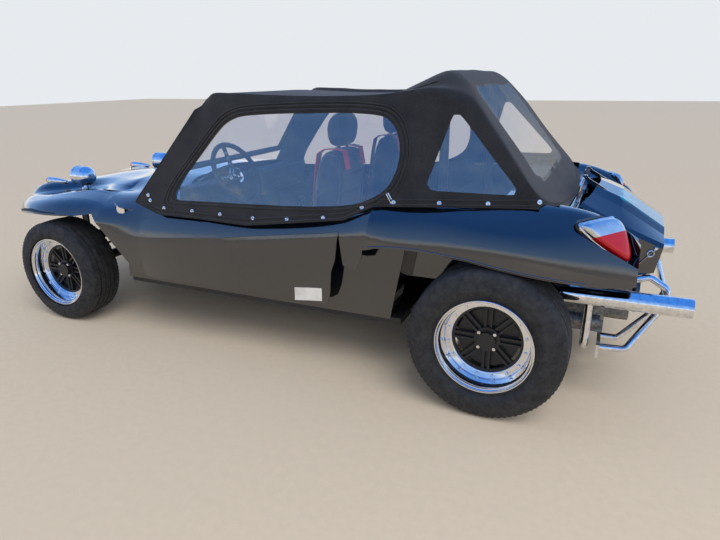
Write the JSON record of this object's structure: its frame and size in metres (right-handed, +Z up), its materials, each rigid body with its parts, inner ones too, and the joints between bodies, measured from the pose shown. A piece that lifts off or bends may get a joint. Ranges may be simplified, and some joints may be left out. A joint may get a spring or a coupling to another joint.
{
  "type": "dune buggy",
  "caption": "Open-wheeled beach buggy: glossy moulded body, canvas top, wide wheels, rear engine under a lifting cover, steering that turns the front wheels.",
  "frame": {"origin": "on the ground below the middle of the overall length, on the car's centre line", "axes": "+X towards the nose, +Y to the car's left, +Z up"},
  "size_m": [3.593, 1.594, 1.33],
  "materials": {
    "black_gelcoat": "gloss",
    "chassis_black": "satin",
    "chrome": "polished",
    "rim_alloy": "polished",
    "centre_black": "satin",
    "tyre": "matt",
    "engine_alloy": "cast",
    "canvas": "matt woven",
    "clear_vinyl": "clear",
    "screen_glass": "clear",
    "lamp_glass": "clear",
    "amber": "clear tinted",
    "lamp_red": "clear tinted",
    "seat_trim": "satin",
    "belt_red": "woven",
    "dash_black": "satin"
  },
  "bodies": {
    "chassis": {"body_shell": "black_gelcoat", "side_panel_left": "black_gelcoat", "side_panel_right": "black_gelcoat", "tub": "black_gelcoat", "front_beam": "chassis_black", "steering_column": "chassis_black", "floor_pan": "chassis_black", "rear_axle": "chassis_black", "fan_shroud": "chassis_black", "roof_hoop": "chassis_black", "transaxle": "engine_alloy", "engine_block": "engine_alloy", "exhaust_left": "chrome", "exhaust_right": "chrome", "rear_bumper": "chrome", "headlamps": "chrome", "cover_hinges": "chrome", "indicators": "chrome", "tail_lamp_bases": "chrome", "windscreen_frame": "chassis_black", "windscreen_glass": "screen_glass", "soft_top": "canvas", "soft_windows": "clear_vinyl", "headlamp_lenses": "lamp_glass", "indicator_lenses": "amber", "tail_lamp_lenses": "lamp_red", "seat_left": "seat_trim", "seat_right": "seat_trim", "rear_bench": "seat_trim", "belts": "belt_red", "dashboard": "dash_black", "cockpit_controls": "chassis_black"},
    "wheel_front_left": {"tyre_front_left": "tyre", "rim_front_left": "rim_alloy", "wheel_centre_front_left": "centre_black"},
    "wheel_front_right": {"tyre_front_right": "tyre", "rim_front_right": "rim_alloy", "wheel_centre_front_right": "centre_black"},
    "wheel_rear_left": {"tyre_rear_left": "tyre", "rim_rear_left": "rim_alloy", "wheel_centre_rear_left": "centre_black"},
    "wheel_rear_right": {"tyre_rear_right": "tyre", "rim_rear_right": "rim_alloy", "wheel_centre_rear_right": "centre_black"},
    "knuckle_left_body": {"knuckle_left": "chassis_black"},
    "knuckle_right_body": {"knuckle_right": "chassis_black"},
    "tie_rod_left_body": {"tie_rod_left": "chassis_black"},
    "tie_rod_right_body": {"tie_rod_right": "chassis_black"},
    "pitman_arm_body": {"pitman_arm": "chassis_black"},
    "steering_wheel_body": {"steering_wheel": "chrome"},
    "engine_cover_body": {"engine_cover": "black_gelcoat"}
  },
  "joints": [
    {"name": "steer_left", "type": "hinge", "parent": "chassis", "child": "knuckle_left_body", "pos_m": [1.3165, 0.57, 0.285], "axis": [0, 0, 1], "range_deg": [-28, 28]},
    {"name": "steer_right", "type": "hinge", "parent": "chassis", "child": "knuckle_right_body", "pos_m": [1.3165, -0.57, 0.285], "axis": [0, 0, 1], "range_deg": [-28, 28]},
    {"name": "tie_rod_left_pivot", "type": "hinge", "parent": "knuckle_left_body", "child": "tie_rod_left_body", "pos_m": [1.4115, 0.57, 0.33], "axis": [0, 0, 1], "range_deg": [-28, 28]},
    {"name": "tie_rod_right_pivot", "type": "hinge", "parent": "knuckle_right_body", "child": "tie_rod_right_body", "pos_m": [1.4115, -0.57, 0.33], "axis": [0, 0, 1], "range_deg": [-28, 28]},
    {"name": "pitman_pivot", "type": "hinge", "parent": "chassis", "child": "pitman_arm_body", "pos_m": [1.3165, 0.08, 0.308], "axis": [0, 0, 1], "range_deg": [-28, 28]},
    {"name": "steering_wheel_turn", "type": "hinge", "parent": "chassis", "child": "steering_wheel_body", "pos_m": [0.3065, 0.34, 0.834], "axis": [-0.8803, 0, 0.4744], "range_deg": [-336, 336]},
    {"name": "cover_hinge", "type": "hinge", "parent": "chassis", "child": "engine_cover_body", "pos_m": [-1.3565, 0, 0.88], "axis": [0, 1, 0], "range_deg": [0, 60]},
    {"name": "front_left_spin", "type": "hinge", "parent": "knuckle_left_body", "child": "wheel_front_left", "pos_m": [1.3165, 0.65, 0.285], "axis": [0, 1, 0], "continuous": true},
    {"name": "front_right_spin", "type": "hinge", "parent": "knuckle_right_body", "child": "wheel_front_right", "pos_m": [1.3165, -0.65, 0.285], "axis": [0, 1, 0], "continuous": true},
    {"name": "rear_left_spin", "type": "hinge", "parent": "chassis", "child": "wheel_rear_left", "pos_m": [-1.0835, 0.7, 0.312], "axis": [0, 1, 0], "continuous": true},
    {"name": "rear_right_spin", "type": "hinge", "parent": "chassis", "child": "wheel_rear_right", "pos_m": [-1.0835, -0.7, 0.312], "axis": [0, 1, 0], "continuous": true}
  ],
  "couplings": [
    {"joint": "steer_right", "follows": "steer_left", "ratio": 1},
    {"joint": "tie_rod_left_pivot", "follows": "steer_left", "ratio": -1},
    {"joint": "tie_rod_right_pivot", "follows": "steer_left", "ratio": -1},
    {"joint": "pitman_pivot", "follows": "steer_left", "ratio": 1},
    {"joint": "steering_wheel_turn", "follows": "steer_left", "ratio": 12}
  ]
}
